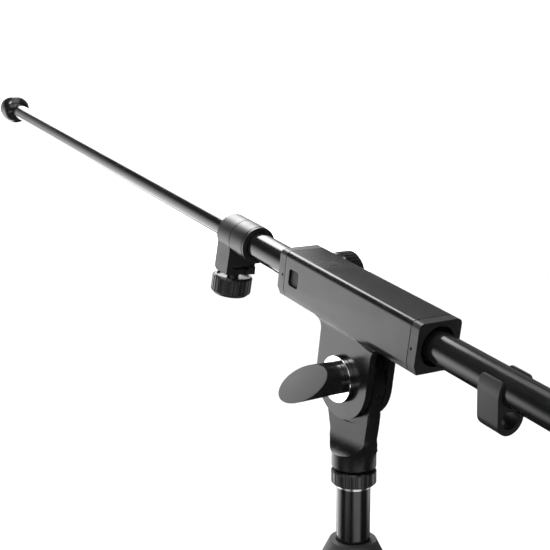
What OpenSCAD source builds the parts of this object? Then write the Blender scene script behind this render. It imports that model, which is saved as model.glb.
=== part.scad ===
/* [Stand] */
// Height of the tilt hinge above the floor
hinge_height = 930; // [900:5:960]
// Height of the lower tube's top edge
lower_tube_top = 780; // [740:5:785]
// Diameter of the lower column tube
lower_tube_d = 25; // [25:0.1:25.4]
// Diameter of the sliding upper column tube
upper_tube_d = 20; // [19.6:0.1:20]

/* [Legs] */
// Distance from a leg's pivot to the middle of its rubber foot
leg_length = 340; // [300:5:360]
// Angle between a spread leg and the column
leg_spread = 72; // [68:1:74]
// Diameter of a leg tube
leg_tube_d = 16; // [15:0.1:16]
// Diameter of a rubber foot
foot_d = 21; // [20:0.5:22]

/* [Head] */
// Downward tilt of the microphone end of the boom
boom_tilt = 9.86; // [0:0.01:30]
// Length of the head between the faces of its end caps
head_length = 130.6; // [130:0.1:134]
// Width of the head across the boom
head_width = 29.5; // [29:0.1:30]
// Depth of the tilt hinge below the boom's axis
hinge_drop = 43.8; // [43:0.1:46]
// Rounding radius of the two ears of the tilt hinge
ear_r = 23.8; // [22.5:0.1:24]
// Thickness of one ear
ear_thickness = 4.5; // [4:0.1:4.5]

/* [Boom] */
// Diameter of the outer boom tube
boom_tube_d = 18; // [17.8:0.1:18]
// Diameter of the thin telescoping rod
boom_rod_d = 13; // [12.8:0.1:13]
// Reach of the outer tube past the head towards the microphone
mic_reach = 335; // [300:5:380]
// Distance from the head's middle to the ball on the rod
ball_reach = 549; // [500:1:560]
// Diameter of the end ball
ball_d = 26.2; // [24:0.1:27]

/* [Hidden] */
$fn = 72;

run_gap = 0.05;      // radial clearance of a running fit
face_gap = 0.1;      // gap between flat faces that turn on each other
eps = 0.01;          // overshoot of a cutting tool
black = [0.07, 0.07, 0.075];
steel = [0.72, 0.73, 0.75];

// column and base
lower_tube_r = lower_tube_d / 2;
lower_bore_r = lower_tube_r - 1.2;
lower_tube_bottom = 4;
cap_r = 15;
cap_height = 16;
carrier_r = 19;
carrier_bore_r = lower_tube_r + run_gap;
pivot_radius = 28.5;
foot_r = foot_d / 2;
pivot_z = foot_r + leg_length * cos(leg_spread);
leg_angles = [0, 120, 240];
leg_tube_r = leg_tube_d / 2;
leg_bore_r = leg_tube_r - 1.2;
leg_tube_start = 13;
leg_tube_end = leg_length + 2;
knuckle_r = 8.8;
knuckle_half = 5.6;
lug_inner = 5.8;
lug_outer = 9.8;
lug_r = 10.5;
pin_r = 3;
base_lock_z = pivot_z + 19;
base_lock_angle = 60;
screw_r = 4;

// clutch and upper tube
upper_tube_r = upper_tube_d / 2;
upper_bore_r = upper_tube_r - 1;
upper_tube_bottom = 160;
clutch_body_r = 16;
clutch_neck_r = 14;
clutch_neck_top = lower_tube_top + 30;
grip_r = 18.5;
grip_bottom = lower_tube_top + 12.3;
grip_top = lower_tube_top + 50;
grip_cavity_top = grip_top - 8;
head_drop = 56;      // from the tilt hinge to the bottom of the stand head
ring_height = 9;
flange_height = 2;
upper_tube_top = hinge_height - head_drop - ring_height - flange_height;
stud_r = 4.76;       // 3/8 inch microphone thread

// tilt hinge and head, in the head's own frame with the boom's axis on X
hinge_x = 1;
housing_half = head_width / 2;
housing_top = 14.3;
housing_round = 3.5;
housing_bottom = -14.6;
housing_side_low = -9.4;
housing_bottom_half = 12.3;
cap_length = 6.1;
groove = 0.5;
housing_bore_r = 11.5;
casting_left = -head_length / 2 + cap_length + groove;
casting_right = head_length / 2 - cap_length - groove;
spigot_r = 12.4;
spigot_length = 3;
hinge_y = -1;        // middle plane of the tilt hinge
ear_outer = 9.5;     // from that plane
ear_inner = ear_outer - ear_thickness;
ear_fillet = 8;
ear_root = 1.8;      // how far the ears thicken towards the underside
ear_root_z = -18.6;
tongue_half = 4;
tongue_r = 24;
seat_r = 26.6;
neck_plate_half = 4.5;
neck_flare_r = 12;
neck_flare_z = -34;
stand_head_r = 13.2;
head_thread = 11;
disc_r = 20;
bush_length = 14;
tube_r = boom_tube_d / 2;
tube_bore_r = tube_r - 1;
clamp_x = -49.6;
clamp_knob_y = 17;
window_x = 9.8;
window_z = 10.4;
window_round = 2;
lever_base_r = 9.5;
lever_tip_r = 10.4;
lever_rise = 1.1;
lever_reach = 35.7;
lever_cut_lean = 46.9;
lever_cut_turn = -62.1;
washer_r = 13.8;
washer_thickness = 3.4;

// boom, collar and clip
rod_r = boom_rod_d / 2;
rod_inner_end = -75;
ball_r = ball_d / 2;
collar_left = -144.6;
collar_right = -112;
collar_seam = -129;
collar_r = 12.3;
collar_ring_length = 2.4;
neck_half = 10.8;
neck_bottom = -25;
neck_corner = 3;
collar_screw_x = -137.6;
collar_turn = -3.5;   // the collar is clamped slightly turned about the boom
nut_slot_z = -20.5;
nut_slot_height = 2.2;
nut_half = 5.8;
knob_r = 13.4;
knob_height = 13.2;
knob_dish = 1.2;
knob_ribs = 30;
clip_left = 108.3;
clip_right = 123.3;
clip_half = 11.2;
clip_round_r = 8.6;
clip_round_z = -15.9;
clip_channel_r = 5.8;
clip_channel_z = -15.4;
clip_web_z = -11.3;
clip_near_top = 5.4;
clip_far_top = 6.5;
clip_tip_round = 2;
mic_plug = 22;
mic_relief_r = 4.4;
mic_relief = 4.6;
mic_collar = 14;
mic_ring_length = 4;
mic_stud = 17;

// places its children in the head's frame
module in_head() {
    translate([0, 0, hinge_height])
        rotate([0, boom_tilt, 0])
            translate([-hinge_x, 0, hinge_drop])
                children();
}

// places its children in the frame of the turned collar
module in_collar() {
    in_head()
        rotate([collar_turn, 0, 0])
            children();
}

// cylinder on the X axis from x0 to x1
module along_x(x0, x1, r) {
    translate([x0, 0, 0])
        rotate([0, 90, 0])
            cylinder(r = r, h = x1 - x0);
}

// cylinder parallel to Y from y0 to y1
module along_y(y0, y1, r) {
    translate([0, y1, 0])
        rotate([90, 0, 0])
            cylinder(r = r, h = y1 - y0);
}

// outline in the XZ plane given a thickness from y0 to y1
module plate_y(y0, y1) {
    translate([0, y1, 0])
        rotate([90, 0, 0])
            linear_extrude(height = y1 - y0)
                children();
}

// outline in the YZ plane given a length from x0 to x1
module bar_x(x0, x1) {
    translate([x0, 0, 0])
        rotate([90, 0, 90])
            linear_extrude(height = x1 - x0)
                children();
}

module tube(r_out, r_in, z0, z1) {
    translate([0, 0, z0])
        difference() {
            cylinder(r = r_out, h = z1 - z0);
            translate([0, 0, -eps])
                cylinder(r = r_in, h = z1 - z0 + 2 * eps);
        }
}

// ribbed thumb knob standing on z = 0, with a dished face there
module ribbed_knob(hole_r) {
    chamfer = 2.2;
    rim = 1.2;
    difference() {
        rotate_extrude()
            polygon([
                [hole_r, knob_dish],
                [knob_r - rim - 2, knob_dish],
                [knob_r - rim - 1.4, 0],
                [knob_r - rim, 0],
                [knob_r, rim],
                [knob_r, knob_height - chamfer],
                [knob_r - chamfer, knob_height],
                [hole_r, knob_height]
            ]);
        for (i = [0 : knob_ribs - 1])
            rotate([0, 0, i * 360 / knob_ribs])
                translate([knob_r + 0.35, 0, -eps])
                    cylinder(r = 0.9, h = knob_height + 2 * eps, $fn = 24);
    }
}

// base

module bottom_cap() {
    color(black)
        difference() {
            rotate_extrude()
                polygon([
                    [0, 0],
                    [cap_r - 1.5, 0],
                    [cap_r, 1.5],
                    [cap_r, cap_height - 1],
                    [cap_r - 1, cap_height],
                    [0, cap_height]
                ]);
            translate([0, 0, lower_tube_bottom])
                cylinder(r = lower_tube_r, h = cap_height);
        }
}

module lower_tube() {
    color(black)
        tube(lower_tube_r, lower_bore_r, lower_tube_bottom, lower_tube_top);
}

module leg_lugs() {
    for (angle = leg_angles)
        rotate([0, 0, angle])
            for (side = [-1, 1])
                translate([0, side * (lug_inner + lug_outer) / 2, pivot_z])
                    plate_y(-(lug_outer - lug_inner) / 2, (lug_outer - lug_inner) / 2) {
                        translate([pivot_radius, 0])
                            circle(r = lug_r);
                        translate([15, -lug_r])
                            square([pivot_radius - 15, 2 * lug_r]);
                    }
}

module leg_carrier() {
    color(black)
        difference() {
            union() {
                rotate_extrude()
                    polygon([
                        [carrier_bore_r, pivot_z - 12],
                        [carrier_r - 1, pivot_z - 12],
                        [carrier_r, pivot_z - 11],
                        [carrier_r, pivot_z + 31],
                        [carrier_r - 2, pivot_z + 33],
                        [carrier_bore_r, pivot_z + 33]
                    ]);
                leg_lugs();
                rotate([0, 0, base_lock_angle])
                    translate([15, 0, base_lock_z])
                        rotate([0, 90, 0])
                            cylinder(r = 9, h = 11);
            }
            for (angle = leg_angles)
                rotate([0, 0, angle])
                    translate([pivot_radius, 0, pivot_z])
                        along_y(-lug_outer - 1, lug_outer + 1, pin_r);
            rotate([0, 0, base_lock_angle])
                translate([10, 0, base_lock_z])
                    rotate([0, 90, 0])
                        cylinder(r = screw_r + run_gap, h = 20);
        }
}

module leg_pins() {
    color(steel)
        for (angle = leg_angles)
            rotate([0, 0, angle])
                translate([pivot_radius, 0, pivot_z]) {
                    along_y(-lug_outer, lug_outer, pin_r);
                    along_y(lug_outer, lug_outer + 1.6, 4.6);
                    along_y(-lug_outer - 1.6, -lug_outer, 4.6);
                }
}

module base_lock_place() {
    rotate([0, 0, base_lock_angle])
        translate([0, 0, base_lock_z])
            rotate([0, 90, 0])
                children();
}

module base_lock_screw() {
    color(steel)
        base_lock_place()
            translate([0, 0, lower_tube_r + 0.2])
                cylinder(r = screw_r, h = 24);
}

module base_lock_knob() {
    color(black)
        base_lock_place()
            difference() {
                translate([0, 0, 28])
                    ribbed_knob(0);
                translate([0, 0, 27])
                    cylinder(r = screw_r, h = lower_tube_r + 24.2 - 27);
            }
}

// places its children at a leg's pivot with +Z running down the leg
module leg_place(index) {
    rotate([0, 0, leg_angles[index]])
        translate([pivot_radius, 0, pivot_z])
            rotate([0, 180 - leg_spread, 0])
                children();
}

module leg_tube(index) {
    color(black)
        leg_place(index)
            tube(leg_tube_r, leg_bore_r, leg_tube_start, leg_tube_end);
}

module leg_knuckle(index) {
    color(black)
        leg_place(index)
            difference() {
                union() {
                    along_y(-knuckle_half, knuckle_half, knuckle_r);
                    translate([0, 0, 6])
                        cylinder(r = 5.5, h = 6);
                    translate([0, 0, 11.2])
                        cylinder(r = leg_tube_r, h = leg_tube_start - 11.2);
                    translate([0, 0, leg_tube_start])
                        cylinder(r = leg_bore_r, h = 22);
                }
                along_y(-knuckle_half - 1, knuckle_half + 1, pin_r + run_gap);
            }
}

module leg_foot(index) {
    color(black)
        leg_place(index)
            difference() {
                union() {
                    translate([0, 0, leg_length])
                        sphere(r = foot_r);
                    translate([0, 0, leg_length - 32])
                        cylinder(r = foot_r - 0.4, h = 32);
                }
                translate([0, 0, leg_length - 33])
                    cylinder(r = leg_tube_r, h = leg_tube_end - leg_length + 33);
            }
}

// column

module clutch_body() {
    color(black)
        rotate_extrude()
            polygon([
                [lower_tube_r, lower_tube_top - 35],
                [clutch_body_r - 1, lower_tube_top - 35],
                [clutch_body_r, lower_tube_top - 34],
                [clutch_body_r, lower_tube_top + 12],
                [clutch_neck_r, lower_tube_top + 12],
                [clutch_neck_r, clutch_neck_top],
                [upper_tube_r + run_gap, clutch_neck_top],
                [upper_tube_r + run_gap, lower_tube_top],
                [lower_tube_r, lower_tube_top]
            ]);
}

module clutch_collet() {
    color(black)
        difference() {
            tube(clutch_neck_r - 0.4, upper_tube_r + run_gap, clutch_neck_top, grip_cavity_top - 0.3);
            translate([0, -0.8, clutch_neck_top - 1])
                cube([20, 1.6, 20]);
        }
}

module clutch_grip() {
    ribs = 20;
    cavity_r = clutch_neck_r + run_gap;
    mouth_r = upper_tube_r + 0.35;
    color(black)
        difference() {
            rotate_extrude()
                polygon([
                    [cavity_r, grip_bottom],
                    [grip_r - 1, grip_bottom],
                    [grip_r, grip_bottom + 1],
                    [grip_r, grip_top - 9],
                    [grip_r - 4.5, grip_top],
                    [mouth_r, grip_top],
                    [mouth_r, grip_cavity_top],
                    [cavity_r, grip_cavity_top]
                ]);
            for (i = [0 : ribs - 1])
                rotate([0, 0, i * 360 / ribs])
                    translate([grip_r + 0.8, 0, grip_bottom + 5])
                        cylinder(r = 1.6, h = grip_top - grip_bottom, $fn = 24);
        }
}

module upper_tube() {
    color(black)
        tube(upper_tube_r, upper_bore_r, upper_tube_bottom, upper_tube_top);
}

module upper_bush() {
    color(black) {
        translate([0, 0, upper_tube_bottom - 10])
            cylinder(r = lower_bore_r - run_gap, h = 10);
        translate([0, 0, upper_tube_bottom])
            cylinder(r = upper_bore_r, h = 12);
    }
}

module top_stud() {
    color(steel)
        union() {
            translate([0, 0, upper_tube_top - 24])
                cylinder(r = upper_bore_r, h = 24);
            translate([0, 0, upper_tube_top])
                cylinder(r = upper_tube_r, h = flange_height);
            translate([0, 0, upper_tube_top])
                cylinder(r = stud_r, h = flange_height + ring_height + head_thread);
        }
}

module lock_ring() {
    ribs = 24;
    ring_r = 13.4;
    bottom = upper_tube_top + flange_height + face_gap;
    top = bottom + ring_height - 2 * face_gap;
    color(steel)
        difference() {
            rotate_extrude()
                polygon([
                    [stud_r + run_gap, bottom],
                    [ring_r - 1, bottom],
                    [ring_r, bottom + 1],
                    [ring_r, top - 1],
                    [ring_r - 1, top],
                    [stud_r + run_gap, top]
                ]);
            for (i = [0 : ribs - 1])
                rotate([0, 0, i * 360 / ribs])
                    translate([ring_r + 0.4, 0, bottom - 1])
                        cylinder(r = 0.9, h = ring_height + 2, $fn = 24);
        }
}

// clears both sides of the stand head's neck down to a plate that flares into the round foot
module neck_sides() {
    for (side = [-1, 1]) {
        translate([0, hinge_y + side * (tongue_half + 15), 0])
            along_y(-15, 15, seat_r);
        translate([-30, hinge_y + side * (neck_plate_half + 15) - 15, neck_flare_z])
            cube([60, 30, 60]);
        translate([0, hinge_y + side * (neck_plate_half + neck_flare_r), neck_flare_z])
            along_x(-30, 30, neck_flare_r);
    }
}

module stand_head() {
    color(black)
        translate([0, 0, hinge_height])
            difference() {
                union() {
                    along_y(hinge_y - tongue_half, hinge_y + tongue_half, tongue_r);
                    difference() {
                        rotate_extrude()
                            polygon([
                                [0, -head_drop],
                                [stand_head_r - 2, -head_drop],
                                [stand_head_r, -head_drop + 2],
                                [stand_head_r, -46],
                                [17.3, -38],
                                [17.5, neck_flare_z],
                                [19.5, -24],
                                [21, -12],
                                [0, -12]
                            ]);
                        neck_sides();
                    }
                }
                along_y(-20, 20, screw_r + run_gap);
                translate([0, 0, -head_drop - 1])
                    cylinder(r = stud_r + run_gap, h = head_thread + 2);
            }
}

// head

module at_hinge() {
    translate([hinge_x, hinge_y, -hinge_drop])
        children();
}

module friction_discs() {
    color(steel)
        in_head()
            at_hinge()
                for (side = [-1, 1])
                    translate([0, side * (ear_inner + tongue_half + face_gap) / 2, 0])
                        difference() {
                            thick = ear_inner - tongue_half - face_gap;
                            along_y(-thick / 2, thick / 2, disc_r);
                            along_y(-2, 2, screw_r + run_gap);
                        }
}

module housing_outline() {
    shoulder = housing_top - housing_round;
    polygon([
        [-housing_half, housing_side_low],
        [-housing_bottom_half, housing_bottom],
        [housing_bottom_half, housing_bottom],
        [housing_half, housing_side_low],
        [housing_half, shoulder],
        [-housing_half, shoulder]
    ]);
    translate([-housing_half + housing_round, shoulder])
        square([head_width - 2 * housing_round, housing_round]);
    for (side = [-1, 1])
        translate([side * (housing_half - housing_round), shoulder])
            circle(r = housing_round);
}

// one ear with the fillets that run it into the underside
module ear_outline() {
    translate([hinge_x, -hinge_drop])
        circle(r = ear_r);
    translate([hinge_x - ear_r, -hinge_drop])
        square([2 * ear_r, hinge_drop + housing_bottom + 2]);
    for (side = [-1, 1])
        difference() {
            translate([hinge_x + side * (ear_r + ear_fillet / 2), housing_bottom - ear_fillet / 2])
                square([ear_fillet + 1, ear_fillet], center = true);
            translate([hinge_x + side * (ear_r + ear_fillet), housing_bottom - ear_fillet])
                circle(r = ear_fillet);
        }
}

// both ears, each flaring into the underside on its outer side
module ears() {
    flare_r = (pow(ear_root, 2) + pow(ear_root_z - housing_bottom, 2)) / (2 * ear_root);
    difference() {
        for (side = [-1, 1])
            translate([0, hinge_y + side * (ear_inner + ear_outer + ear_root) / 2, 0])
                plate_y(-(ear_thickness + ear_root) / 2, (ear_thickness + ear_root) / 2)
                    ear_outline();
        for (side = [-1, 1]) {
            translate([0, hinge_y + side * (ear_outer + flare_r), ear_root_z])
                along_x(-50, 50, flare_r);
            translate([-50, hinge_y + side * (ear_outer + 10) - 10, ear_root_z - 60])
                cube([100, 20, 60]);
        }
    }
}

// window for the clamp shoe, smaller all round by inset
module window_outline(inset) {
    round_x = window_x / 2 - window_round;
    round_z = window_z / 2 - window_round;
    translate([clamp_x, 0]) {
        square([2 * round_x, window_z - 2 * inset], center = true);
        square([window_x - 2 * inset, 2 * round_z], center = true);
        for (x = [-round_x, round_x])
            for (z = [-round_z, round_z])
                translate([x, z])
                    circle(r = window_round - inset);
    }
}

module head_casting() {
    color(black)
        in_head()
            difference() {
                union() {
                    bar_x(casting_left, casting_right)
                        housing_outline();
                    ears();
                }
                along_x(casting_left - 1, casting_right + 1, housing_bore_r);
                along_x(casting_left - 1, casting_left + spigot_length + 0.2, spigot_r);
                along_x(casting_right - spigot_length - 0.2, casting_right + 1, spigot_r);
                plate_y(-housing_half - 1, -housing_half + 5)
                    window_outline(0);
                translate([clamp_x, 0, 0])
                    along_y(0, housing_half + 1, screw_r + run_gap);
                at_hinge()
                    along_y(-20, 20, screw_r + run_gap);
            }
}

// end cap whose outer face is at x = 0, with the casting on its +X side
module end_cap() {
    difference() {
        union() {
            bar_x(0, cap_length)
                housing_outline();
            along_x(cap_length, cap_length + groove + spigot_length, spigot_r);
        }
        along_x(-1, cap_length + groove + spigot_length + 1, housing_bore_r);
        translate([4.2, -housing_half, -0.8])
            sphere(r = 0.9);
    }
}

module end_cap_left() {
    color(black)
        in_head()
            translate([-head_length / 2, 0, 0])
                end_cap();
}

module end_cap_right() {
    color(black)
        in_head()
            translate([head_length / 2, 0, 0])
                mirror([1, 0, 0])
                    end_cap();
}

module tube_bushes() {
    color(black)
        in_head()
            for (start = [casting_left + 17, casting_right - bush_length])
                difference() {
                    along_x(start, start + bush_length, housing_bore_r);
                    along_x(start - 1, start + bush_length + 1, tube_r + run_gap);
                }
}

module clamp_shoe() {
    color(steel)
        in_head()
            difference() {
                plate_y(-housing_half + 1.4, -housing_half + 5)
                    window_outline(0.05);
                along_x(-80, 0, tube_r + face_gap);
            }
}

module pressure_pad() {
    color(steel)
        in_head()
            difference() {
                translate([clamp_x, 0, 0])
                    along_y(5, 11, screw_r);
                along_x(-80, 0, tube_r + face_gap);
            }
}

module clamp_screw() {
    color(steel)
        in_head()
            translate([clamp_x, 0, 0])
                along_y(11.1, clamp_knob_y + 9, screw_r);
}

module clamp_knob() {
    color(black)
        in_head()
            translate([clamp_x, clamp_knob_y, 0])
                rotate([-90, 0, 0])
                    difference() {
                        ribbed_knob(0);
                        translate([0, 0, -1])
                            cylinder(r = screw_r, h = 10);
                    }
}

module lever_washer() {
    color(steel)
        in_head()
            at_hinge()
                difference() {
                    along_y(-ear_outer - washer_thickness, -ear_outer, washer_r);
                    along_y(-20, 0, screw_r + run_gap);
                }
}

// slanting plane that trims the lever, with everything above it
module lever_cut() {
    translate([0, -lever_reach, lever_rise])
        rotate([0, lever_cut_lean, lever_cut_turn])
            translate([-60, -60, 0])
                cube([120, 120, 60]);
}

module tilt_lever() {
    base = -ear_outer - washer_thickness - face_gap;
    color(black)
        in_head()
            at_hinge()
                difference() {
                    translate([0, base, lever_rise])
                        rotate([90, 0, 0])
                            cylinder(r1 = lever_base_r, r2 = lever_tip_r, h = 50);
                    lever_cut();
                    along_y(base - 8, base + 1, screw_r);
                }
}

module lever_screw() {
    color(steel)
        in_head()
            at_hinge()
                along_y(-ear_outer - washer_thickness - face_gap - 8, ear_outer + 8, screw_r);
}

module lock_nut() {
    color(steel)
        in_head()
            at_hinge()
                difference() {
                    translate([0, ear_outer + 6.5, 0])
                        rotate([90, 0, 0])
                            cylinder(d = 15, h = 6.5, $fn = 6);
                    along_y(0, 30, screw_r + run_gap);
                }
}

// boom

module boom_tube() {
    color(black)
        in_head()
            difference() {
                along_x(collar_seam, mic_reach, tube_r);
                along_x(collar_seam - 1, mic_reach + 1, tube_bore_r);
            }
}

// side outline of the collar's neck, rounded at its outer lower corner
module neck_outline() {
    difference() {
        translate([collar_left, neck_bottom])
            square([collar_seam - collar_left, -neck_bottom]);
        difference() {
            translate([collar_left - 1, neck_bottom - 1])
                square(neck_corner + 1);
            translate([collar_left + neck_corner, neck_bottom + neck_corner])
                circle(r = neck_corner);
        }
    }
}

module collar_body() {
    color(black)
        in_collar()
            difference() {
                union() {
                    along_x(collar_left, collar_right - collar_ring_length, collar_r);
                    plate_y(-neck_half, neck_half)
                        neck_outline();
                    translate([collar_seam - 1, neck_half - 6.3, neck_bottom])
                        cube([2.2, 6.3, 5.2]);
                }
                along_x(collar_seam, collar_right, tube_r);
                along_x(collar_left - 1, collar_seam + 1, rod_r + run_gap);
                translate([collar_screw_x, 0, neck_bottom - 1])
                    cylinder(r = screw_r + run_gap, h = -neck_bottom);
                translate([collar_screw_x - nut_half - 0.1, -nut_half, nut_slot_z - nut_slot_height / 2])
                    cube([30, 2 * nut_half, nut_slot_height]);
                difference() {
                    along_x(collar_seam - 0.3, collar_seam + 0.3, collar_r + 1);
                    along_x(collar_seam - 1, collar_seam + 1, collar_r - 0.35);
                    translate([collar_seam - 5, -20, -40])
                        cube([10, 40, 32]);
                }
            }
}

module collar_ring() {
    color(black)
        in_collar()
            difference() {
                along_x(collar_right - collar_ring_length, collar_right, collar_r - 0.2);
                along_x(collar_right - 10, collar_right + 1, tube_r);
            }
}

module collar_nut() {
    color(steel)
        in_collar()
            difference() {
                translate([collar_screw_x - nut_half, -nut_half + 0.1, nut_slot_z - nut_slot_height / 2 + 0.1])
                    cube([2 * nut_half, 2 * nut_half - 0.2, nut_slot_height - 0.2]);
                translate([collar_screw_x, 0, nut_slot_z - 5])
                    cylinder(r = screw_r + run_gap, h = 10);
            }
}

module collar_pad() {
    color(black)
        in_collar()
            difference() {
                translate([collar_screw_x, 0, -10])
                    cylinder(r = screw_r, h = 6);
                along_x(collar_left, collar_seam, rod_r + face_gap);
            }
}

module collar_screw() {
    color(steel)
        in_collar()
            translate([collar_screw_x, 0, -36])
                cylinder(r = screw_r, h = 25.9);
}

module collar_knob() {
    color(black)
        in_collar()
            translate([collar_screw_x, 0, neck_bottom - 2.8])
                rotate([180, 0, 0])
                    difference() {
                        ribbed_knob(0);
                        translate([0, 0, -1])
                            cylinder(r = screw_r, h = 36 + neck_bottom - 2.8 + 1);
                    }
}

module boom_rod() {
    color(black)
        in_head()
            difference() {
                along_x(-ball_reach + 3, rod_inner_end, rod_r);
                along_x(-ball_reach, rod_inner_end + 1, rod_r - 1);
            }
}

module rod_glide() {
    color(black)
        in_head() {
            along_x(rod_inner_end - 12, rod_inner_end, rod_r - 1);
            along_x(rod_inner_end, rod_inner_end + 10, tube_bore_r - run_gap);
        }
}

module rod_ball() {
    color(black)
        in_head()
            difference() {
                translate([-ball_reach, 0, 0])
                    sphere(r = ball_r);
                along_x(-ball_reach + 3, -ball_reach + ball_r + 1, rod_r);
            }
}

// end view of the clip, open at the top for the tube and at the bottom for a cable
module clip_outline() {
    tangent = [8.43, clip_round_z - 1.6];
    difference() {
        union() {
            polygon([
                [0, clip_near_top],
                [-clip_half + 1.3, clip_near_top],
                [-clip_half, 1],
                [-clip_half, -3],
                [-tangent[0], tangent[1]],
                tangent,
                [clip_half, -3],
                [clip_half, 1],
                [clip_half - 1.3, clip_far_top],
                [0, clip_far_top]
            ]);
            translate([0, clip_round_z])
                circle(r = clip_round_r);
        }
        circle(r = tube_r + run_gap);
        translate([-tube_r + 0.6, 0])
            square([2 * tube_r - 1.2, 10]);
        difference() {
            translate([0, clip_channel_z])
                circle(r = clip_channel_r);
            translate([-10, clip_web_z])
                square([20, 10]);
        }
    }
}

// cuts that round the corners at the tip of one of the clip's walls
module clip_corner_cuts(top) {
    for (end = [-1, 1])
        translate([(clip_left + clip_right) / 2, top])
            difference() {
                half = (clip_right - clip_left) / 2;
                translate([end * half - clip_tip_round, -clip_tip_round])
                    square([2 * clip_tip_round, 2 * clip_tip_round]);
                translate([end * (half - clip_tip_round), -clip_tip_round])
                    circle(r = clip_tip_round);
            }
}

module cable_clip() {
    color(black)
        in_head()
            difference() {
                bar_x(clip_left, clip_right)
                    clip_outline();
                plate_y(-20, -1)
                    clip_corner_cuts(clip_near_top);
                plate_y(1, 20)
                    clip_corner_cuts(clip_far_top);
            }
}

module mic_fitting() {
    color(steel)
        in_head()
            union() {
                along_x(mic_reach - mic_plug, mic_reach, tube_bore_r);
                along_x(mic_reach, mic_reach + mic_collar, tube_r + 1);
                along_x(mic_reach, mic_reach + mic_collar + mic_relief + 1, mic_relief_r);
                along_x(mic_reach + mic_collar + mic_relief, mic_reach + mic_collar + mic_stud, stud_r);
            }
}

module mic_ring() {
    ribs = 24;
    ring_r = 12.5;
    start = mic_reach + mic_collar;
    color(steel)
        in_head()
            difference() {
                along_x(start, start + mic_ring_length, ring_r);
                along_x(start - 1, start + mic_ring_length + 1, stud_r + run_gap);
                for (i = [0 : ribs - 1])
                    rotate([i * 360 / ribs, 0, 0])
                        translate([start - 1, 0, ring_r + 0.4])
                            rotate([0, 90, 0])
                                cylinder(r = 0.9, h = mic_ring_length + 2, $fn = 24);
            }
}

bottom_cap();
lower_tube();
leg_carrier();
leg_pins();
base_lock_screw();
base_lock_knob();
leg_tube(0);  // leg_1_tube
leg_tube(1);  // leg_2_tube
leg_tube(2);  // leg_3_tube
leg_knuckle(0);  // leg_1_knuckle
leg_knuckle(1);  // leg_2_knuckle
leg_knuckle(2);  // leg_3_knuckle
leg_foot(0);  // leg_1_foot
leg_foot(1);  // leg_2_foot
leg_foot(2);  // leg_3_foot
clutch_body();
clutch_collet();
clutch_grip();
upper_tube();
upper_bush();
top_stud();
lock_ring();
stand_head();
friction_discs();
head_casting();
end_cap_left();
end_cap_right();
tube_bushes();
clamp_shoe();
pressure_pad();
clamp_screw();
clamp_knob();
lever_washer();
tilt_lever();
lever_screw();
lock_nut();
boom_tube();
collar_body();
collar_ring();
collar_nut();
collar_pad();
collar_screw();
collar_knob();
boom_rod();
rod_glide();
rod_ball();
cable_clip();
mic_fitting();
mic_ring();
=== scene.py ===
"""Looks, camera and studio of the boom microphone stand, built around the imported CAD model."""

import math

import bmesh
import bpy
from mathutils import Matrix, Vector


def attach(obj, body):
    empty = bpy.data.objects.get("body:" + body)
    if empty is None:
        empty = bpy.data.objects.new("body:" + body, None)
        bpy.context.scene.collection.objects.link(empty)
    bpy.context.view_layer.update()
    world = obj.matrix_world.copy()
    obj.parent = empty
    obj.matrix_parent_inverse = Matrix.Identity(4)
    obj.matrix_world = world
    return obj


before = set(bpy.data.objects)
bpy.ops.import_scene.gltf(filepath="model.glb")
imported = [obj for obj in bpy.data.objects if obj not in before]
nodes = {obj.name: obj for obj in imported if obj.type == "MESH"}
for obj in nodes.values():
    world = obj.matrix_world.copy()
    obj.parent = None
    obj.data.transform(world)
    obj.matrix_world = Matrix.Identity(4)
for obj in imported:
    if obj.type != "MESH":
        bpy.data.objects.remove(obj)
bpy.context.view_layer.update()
scene = bpy.context.scene

MM = 0.001
HINGE = Vector((0, 0, 0.93))
BOOM_TILT = math.radians(9.86)
HINGE_IN_HEAD = Vector((1, 0, -43.8)) * MM
# turns the head's own frame, with the boom's axis on X, into the stand's frame
HEAD = (
    Matrix.Translation(HINGE)
    @ Matrix.Rotation(BOOM_TILT, 4, "Y")
    @ Matrix.Translation(-HINGE_IN_HEAD)
)


# materials


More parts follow.
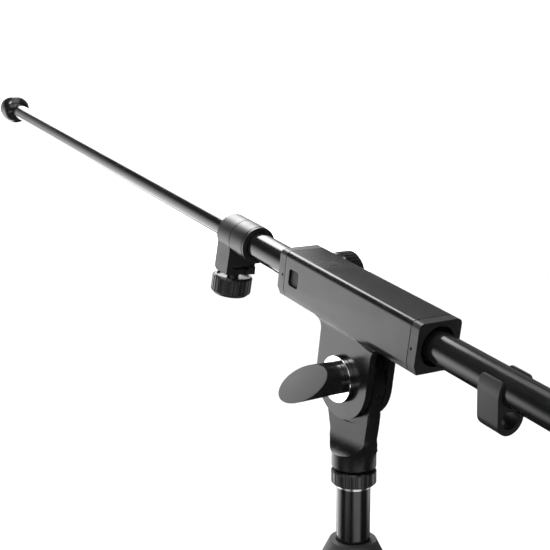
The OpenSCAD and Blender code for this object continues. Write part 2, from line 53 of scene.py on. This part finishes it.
class Surface:
    """A Principled material whose colour, roughness and relief come from noise in object space."""

    def __init__(self, name):
        self.material = bpy.data.materials.new(name)
        self.material.use_nodes = True
        self.tree = self.material.node_tree
        self.shader = self.tree.nodes["Principled BSDF"]
        coords = self.tree.nodes.new("ShaderNodeTexCoord")
        self.place = coords.outputs["Object"]

    def set(self, **values):
        for key, value in values.items():
            self.shader.inputs[key.replace("_", " ")].default_value = value
        return self

    def noise(self, scale, detail=3.0, stretch=(1, 1, 1)):
        mapping = self.tree.nodes.new("ShaderNodeMapping")
        mapping.inputs["Scale"].default_value = stretch
        self.tree.links.new(self.place, mapping.inputs["Vector"])
        noise = self.tree.nodes.new("ShaderNodeTexNoise")
        noise.inputs["Scale"].default_value = scale
        noise.inputs["Detail"].default_value = detail
        self.tree.links.new(mapping.outputs["Vector"], noise.inputs["Vector"])
        return noise.outputs["Fac"]

    def colour(self, source, dark, light):
        ramp = self.tree.nodes.new("ShaderNodeValToRGB")
        ramp.color_ramp.elements[0].position = 0.35
        ramp.color_ramp.elements[0].color = (*dark, 1)
        ramp.color_ramp.elements[1].position = 0.65
        ramp.color_ramp.elements[1].color = (*light, 1)
        self.tree.links.new(source, ramp.inputs["Fac"])
        self.tree.links.new(ramp.outputs["Color"], self.shader.inputs["Base Color"])
        return self

    def roughness(self, source, low, high):
        spread = self.tree.nodes.new("ShaderNodeMapRange")
        spread.inputs["From Min"].default_value = 0.3
        spread.inputs["From Max"].default_value = 0.7
        spread.inputs["To Min"].default_value = low
        spread.inputs["To Max"].default_value = high
        self.tree.links.new(source, spread.inputs["Value"])
        self.tree.links.new(spread.outputs["Result"], self.shader.inputs["Roughness"])
        return self

    def relief(self, source, strength, depth):
        bump = self.tree.nodes.new("ShaderNodeBump")
        bump.inputs["Strength"].default_value = strength
        bump.inputs["Distance"].default_value = depth
        self.tree.links.new(source, bump.inputs["Height"])
        self.tree.links.new(bump.outputs["Normal"], self.shader.inputs["Normal"])
        return self


def grey(value):
    return (value, value, value * 1.04)


def coated(name, tone, rough, grain, strength, depth, spread=0.05):
    """Paint or plastic: a fine grain in relief, cloudy roughness and a slight change of tone."""
    surface = Surface(name)
    surface.colour(surface.noise(14), grey(tone * 0.8), grey(tone * 1.25))
    surface.roughness(surface.noise(70), rough - spread, rough + spread)
    surface.relief(surface.noise(grain, 2), strength, depth)
    return surface


def metal(name, tone, rough, stretch, strength=0.15):
    """Plated or polished steel with fine drawn lines along one direction."""
    surface = Surface(name).set(Metallic=1.0)
    lines = surface.noise(900, 2, stretch)
    surface.colour(surface.noise(40), grey(tone * 0.9), grey(tone))
    surface.roughness(lines, rough * 0.7, rough * 1.3)
    surface.relief(lines, strength, 0.00002)
    return surface


# coated: name, tone, roughness, grain scale, relief strength, relief depth in metres, roughness spread
# metal: name, tone, roughness, stretch of the drawn lines, relief strength
tube_paint = coated("tube_gloss_paint", 0.006, 0.16, 1500, 0.06, 0.00002, 0.03)
cast_paint = coated("casting_satin_paint", 0.007, 0.23, 2600, 0.22, 0.00002).set(Specular_IOR_Level=0.38)
neck_paint = coated("stand_head_satin_paint", 0.006, 0.27, 2600, 0.22, 0.00002).set(Specular_IOR_Level=0.27)
collar_paint = coated("collar_powder_coat", 0.012, 0.36, 2200, 0.35, 0.00004).set(Specular_IOR_Level=0.42)
plastic = coated("moulded_black_plastic", 0.010, 0.38, 3200, 0.35, 0.00003)
knob_plastic = coated("knob_plastic", 0.008, 0.28, 2800, 0.20, 0.00002)
lever_plastic = coated("lever_plastic", 0.008, 0.23, 2400, 0.12, 0.00002)
ball_plastic = coated("ball_plastic", 0.010, 0.20, 2600, 0.30, 0.00003).set(Specular_IOR_Level=0.7)
rubber = coated("black_rubber", 0.018, 0.62, 1800, 0.50, 0.00006)
block_plastic = coated("grey_clamp_block", 0.018, 0.48, 3000, 0.30, 0.00003).set(Specular_IOR_Level=0.2)
black_metal = coated("black_plated_steel", 0.008, 0.24, 2400, 0.15, 0.00002)
zinc = metal("zinc_plated_steel", 0.62, 0.26, (1, 1, 0.05))
polished = metal("polished_washer_steel", 0.86, 0.07, (1, 0.05, 1), 0.05)

FINISH = {
    tube_paint: [
        "lower_tube", "upper_tube", "boom_tube", "boom_rod",
        "leg_1_tube", "leg_2_tube", "leg_3_tube",
    ],
    cast_paint: ["head_casting", "leg_carrier"],
    neck_paint: ["stand_head"],
    collar_paint: ["collar_body"],
    plastic: [
        "bottom_cap", "clutch_body", "clutch_collet", "upper_bush", "end_cap_left", "end_cap_right",
        "tube_bushes", "collar_ring", "collar_pad", "rod_glide", "cable_clip",
        "leg_1_knuckle", "leg_2_knuckle", "leg_3_knuckle",
    ],
    knob_plastic: ["base_lock_knob", "clamp_knob", "collar_knob"],
    lever_plastic: ["tilt_lever"],
    ball_plastic: ["rod_ball"],
    rubber: ["clutch_grip", "leg_1_foot", "leg_2_foot", "leg_3_foot"],
    block_plastic: ["clamp_shoe"],
    black_metal: ["lock_ring", "mic_ring", "mic_fitting"],
    zinc: [
        "leg_pins", "base_lock_screw", "top_stud", "friction_discs", "pressure_pad",
        "clamp_screw", "lever_screw", "lock_nut", "collar_nut", "collar_screw",
    ],
    polished: ["lever_washer"],
}
for surface, names in FINISH.items():
    for name in names:
        nodes[name].data.materials.clear()
        nodes[name].data.materials.append(surface.material)


# softened edges of the CAD pieces

EDGE_WIDTH = {
    "head_casting": 0.9, "end_cap_left": 0.6, "end_cap_right": 0.6, "stand_head": 0.7,
    "tilt_lever": 0.4, "collar_body": 0.5, "collar_ring": 0.3, "cable_clip": 0.7,
    "leg_carrier": 0.6, "bottom_cap": 0.3, "clutch_body": 0.4, "lever_washer": 0.3,
    "clamp_shoe": 0.3, "lock_nut": 0.4, "mic_fitting": 0.3,
}


def soften(name, width_mm):
    """Rounds the sharp edges of a CAD piece; flat faces keep flat shading up to the rounding."""
    piece = nodes[name]
    weld = piece.modifiers.new("weld", "WELD")
    weld.merge_threshold = 1e-6
    whole_faces = piece.modifiers.new("whole_faces", "DECIMATE")
    whole_faces.decimate_type = "DISSOLVE"
    whole_faces.angle_limit = math.radians(0.3)
    bevel = piece.modifiers.new("edges", "BEVEL")
    bevel.width = width_mm * MM
    bevel.segments = 3
    bevel.limit_method = "ANGLE"
    bevel.angle_limit = math.radians(32)
    shading = piece.modifiers.new("shading", "WEIGHTED_NORMAL")
    shading.keep_sharp = False
    piece.data.shade_smooth()


for name, width in EDGE_WIDTH.items():
    soften(name, width)


# added details


def ridge_helix(name, matrix, radius, pitch, length, height, body, surface):
    """A screw thread's ridge wound on the Z axis of matrix; sizes in mm."""
    steps = 28
    count = int(length / pitch * steps)
    # the ridge's cross-section: offset along the screw in pitches, share of the height
    section = ((-0.42, -0.1), (-0.08, 1), (0.08, 1), (0.42, -0.1))
    mesh = bmesh.new()
    rings = []
    for i in range(count + 1):
        angle = 2 * math.pi * i / steps
        rise = length * i / count
        fade = min(1.0, 4 * i / steps, 4 * (count - i) / steps)
        ring = []
        for along, out in section:
            r = radius + height * (out if out < 0 else out * fade)
            point = Vector((r * math.cos(angle), r * math.sin(angle), rise + along * pitch))
            ring.append(mesh.verts.new(matrix @ (point * MM)))
        rings.append(ring)
    for a, b in zip(rings, rings[1:]):
        for k in range(len(section) - 1):
            mesh.faces.new((a[k], b[k], b[k + 1], a[k + 1]))
    bmesh.ops.recalc_face_normals(mesh, faces=mesh.faces)
    data = bpy.data.meshes.new(name)
    mesh.to_mesh(data)
    mesh.free()
    data.shade_smooth()
    data.materials.append(surface.material)
    piece = bpy.data.objects.new(name, data)
    scene.collection.objects.link(piece)
    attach(piece, body)


STUD_R = 4.76
STUD_PITCH = 1.59
COLLAR_SCREW_R = 4.0
COLLAR_SCREW_PITCH = 1.25
RIDGE_HEIGHT = 0.3
TO_X = Matrix.Rotation(math.radians(90), 4, "Y")
# the collar is clamped slightly turned about the boom
COLLAR_TURN = Matrix.Rotation(math.radians(-3.5), 4, "X")

stud_start = HEAD @ Matrix.Translation(Vector((354.5, 0, 0)) * MM) @ TO_X
ridge_helix("mic_thread", stud_start, STUD_R, STUD_PITCH, 10, RIDGE_HEIGHT, "boom", zinc)
collar_screw_start = HEAD @ COLLAR_TURN @ Matrix.Translation(Vector((-137.6, 0, -28.2)) * MM)
ridge_helix(
    "collar_thread", collar_screw_start, COLLAR_SCREW_R, COLLAR_SCREW_PITCH, 3, RIDGE_HEIGHT,
    "rod_clamp", zinc,
)


# studio

CAMERA_PLACE = Vector((0.50529, -0.38617, 1.10582))
VIEW = Vector((-0.82299, 0.53861, -0.18054)).normalized()
HEAD_CENTRE = Vector((0, 0, 0.95))


def plane(name, matrix, size_x, size_y, material):
    data = bpy.data.meshes.new(name)
    corners = [(-1, -1), (1, -1), (1, 1), (-1, 1)]
    data.from_pydata([(x * size_x / 2, y * size_y / 2, 0) for x, y in corners], [], [(0, 1, 2, 3)])
    data.materials.append(material)
    piece = bpy.data.objects.new(name, data)
    piece.matrix_world = matrix
    scene.collection.objects.link(piece)
    return piece


def facing(place, target):
    """A plane at place whose front looks at target."""
    turn = (Vector(target) - Vector(place)).to_track_quat("Z", "Y").to_matrix().to_4x4()
    return Matrix.Translation(place) @ turn


def softbox(name, place, target, width, height, radiance, fades):
    """A lit panel whose light falls off softly towards its edges: left, right, bottom and top."""
    material = bpy.data.materials.new(name)
    material.use_nodes = True
    tree = material.node_tree
    tree.nodes.remove(tree.nodes["Principled BSDF"])
    lamp = tree.nodes.new("ShaderNodeEmission")
    coords = tree.nodes.new("ShaderNodeTexCoord")
    split = tree.nodes.new("ShaderNodeSeparateXYZ")
    tree.links.new(coords.outputs["Generated"], split.inputs["Vector"])
    shares = []
    for axis, first, last in (("X", fades[0], fades[1]), ("Y", fades[2], fades[3])):
        ramp = tree.nodes.new("ShaderNodeValToRGB")
        ramp.color_ramp.interpolation = "EASE"
        ramp.color_ramp.elements[0].position = 0.0
        ramp.color_ramp.elements[0].color = (0, 0, 0, 1)
        ramp.color_ramp.elements[1].position = first
        ramp.color_ramp.elements[1].color = (1, 1, 1, 1)
        plateau = ramp.color_ramp.elements.new(1 - last)
        plateau.color = (1, 1, 1, 1)
        rim = ramp.color_ramp.elements.new(1.0)
        rim.color = (0, 0, 0, 1)
        tree.links.new(split.outputs[axis], ramp.inputs["Fac"])
        shares.append(ramp.outputs["Color"])
    both = tree.nodes.new("ShaderNodeVectorMath")
    both.operation = "MULTIPLY"
    tree.links.new(shares[0], both.inputs[0])
    tree.links.new(shares[1], both.inputs[1])
    tree.links.new(both.outputs["Vector"], lamp.inputs["Color"])
    lamp.inputs["Strength"].default_value = radiance
    tree.links.new(lamp.outputs["Emission"], tree.nodes["Material Output"].inputs["Surface"])
    box = plane(name, facing(place, target), width, height, material)
    box.visible_camera = False
    box.visible_shadow = False
    return box


def plain(name, tone, glow=0.0):
    material = bpy.data.materials.new(name)
    material.use_nodes = True
    shader = material.node_tree.nodes["Principled BSDF"]
    shader.inputs["Base Color"].default_value = (tone, tone, tone, 1)
    shader.inputs["Roughness"].default_value = 0.9
    shader.inputs["Emission Color"].default_value = (1, 1, 1, 1)
    shader.inputs["Emission Strength"].default_value = glow
    return material


floor = plane("studio_floor", Matrix.Identity(4), 14, 14, plain("studio_floor", 0.9))
floor.visible_glossy = False

# pale walls all round, seen by the camera only
pale = plain("studio_backdrop", 0.9, 1.0)
for number, angle in enumerate((57, 147, 237, 327), 1):
    away = Vector((-math.sin(math.radians(angle)), math.cos(math.radians(angle)), 0))
    wall = plane(f"studio_backdrop_{number}", facing(HEAD_CENTRE + away * 5.5, HEAD_CENTRE), 16, 12, pale)
    wall.visible_glossy = False
    wall.visible_diffuse = False
    wall.visible_shadow = False

sun_data = bpy.data.lights.new("overhead", "SUN")
sun_data.energy = 3.6
sun_data.angle = math.radians(50)
sun = bpy.data.objects.new("overhead", sun_data)
sun.rotation_euler = (math.radians(12), math.radians(-10), 0)
sun.visible_glossy = False
scene.collection.objects.link(sun)

# distance of the main softboxes' plane to the left of the head
WALL_X = -1.05
# (name, nearest edge, farthest edge, lowest edge, highest edge, radiance, fades of these edges)
# the edges are metres along Y and Z from the head, on a plane to the left of it
SOFTBOXES = [
    ("back_left_softbox", -0.12, 0.86, 0.20, 2.00, 11.5, (0.10, 0.54, 0.12, 0.25)),
    ("left_softbox", -0.36, 0.14, -0.85, 0.12, 5.0, (0.20, 0.20, 0.15, 0.20)),
    ("front_left_softbox", -2.00, -0.12, -1.05, 0.55, 3.6, (0.60, 0.06, 0.45, 0.50)),
    ("far_left_softbox", 0.60, 2.40, -0.20, 1.80, 0.26, (0.20, 0.30, 0.30, 0.20)),
]
for name, near, far, low, high, radiance, fades in SOFTBOXES:
    place = HEAD_CENTRE + Vector((WALL_X, (near + far) / 2, (low + high) / 2))
    softbox(name, place, place + Vector((1, 0, 0)), far - near, high - low, radiance, fades)

EVEN_FADES = (0.3, 0.3, 0.3, 0.3)
overhead_place = HEAD_CENTRE + Vector((-1.1, 0.67, 2.0))
softbox("overhead_softbox", overhead_place, HEAD_CENTRE, 1.6, 1.6, 1.8, EVEN_FADES)
# its soft side makes the lever's cut face darken towards the right
LEVER_FADES = (0.34, 0.2, 0.3, 0.3)
lever_light_place = HEAD_CENTRE + Vector((-0.20, -1.0, 1.35))
softbox("lever_softbox", lever_light_place, HEAD_CENTRE, 0.5, 0.7, 13.0, LEVER_FADES)

FILL_FADES = (0.25, 0.25, 0.25, 0.25)
# (name, place from the head, point it faces, width, height, radiance)
# these give the sides that the camera doesn't see something to reflect
FILL_SOFTBOXES = [
    ("top_fill", (0.3, 0.0, 2.4), (0.3, 0.001, 0.0), 2.6, 3.0, 1.6),
    ("right_high_fill", (1.6, -0.3, 1.3), (0.0, -0.3, 1.3), 2.4, 1.7, 2.4),
    ("front_high_fill", (1.1, -1.7, 1.3), (1.1, 0.0, 1.3), 2.2, 1.7, 1.4),
    ("right_low_fill", (1.5, -0.45, -0.70), (0.0, -0.45, -0.70), 2.1, 0.5, 2.0),
    ("back_low_fill", (0.2, 1.9, -0.70), (0.2, 0.0, -0.70), 2.4, 0.5, 1.5),
    ("front_low_fill", (0.6, -1.9, -0.70), (0.6, 0.0, -0.70), 1.8, 0.5, 1.5),
]
for name, place, target, width, height, radiance in FILL_SOFTBOXES:
    place, target = HEAD_CENTRE + Vector(place), HEAD_CENTRE + Vector(target)
    softbox(name, place, target, width, height, radiance, FILL_FADES)

world = bpy.data.worlds.new("studio")
world.use_nodes = True
world.node_tree.nodes["Background"].inputs["Color"].default_value = (0.025, 0.025, 0.026, 1)
scene.world = world
scene.view_settings.view_transform = "Standard"

camera_data = bpy.data.cameras.new("camera")
camera_data.sensor_width = 36
camera_data.lens = 74.0
camera_data.clip_start = 0.01
camera = bpy.data.objects.new("camera", camera_data)
camera.location = CAMERA_PLACE
camera.rotation_euler = VIEW.to_track_quat("-Z", "Y").to_euler()
scene.collection.objects.link(camera)
scene.camera = camera
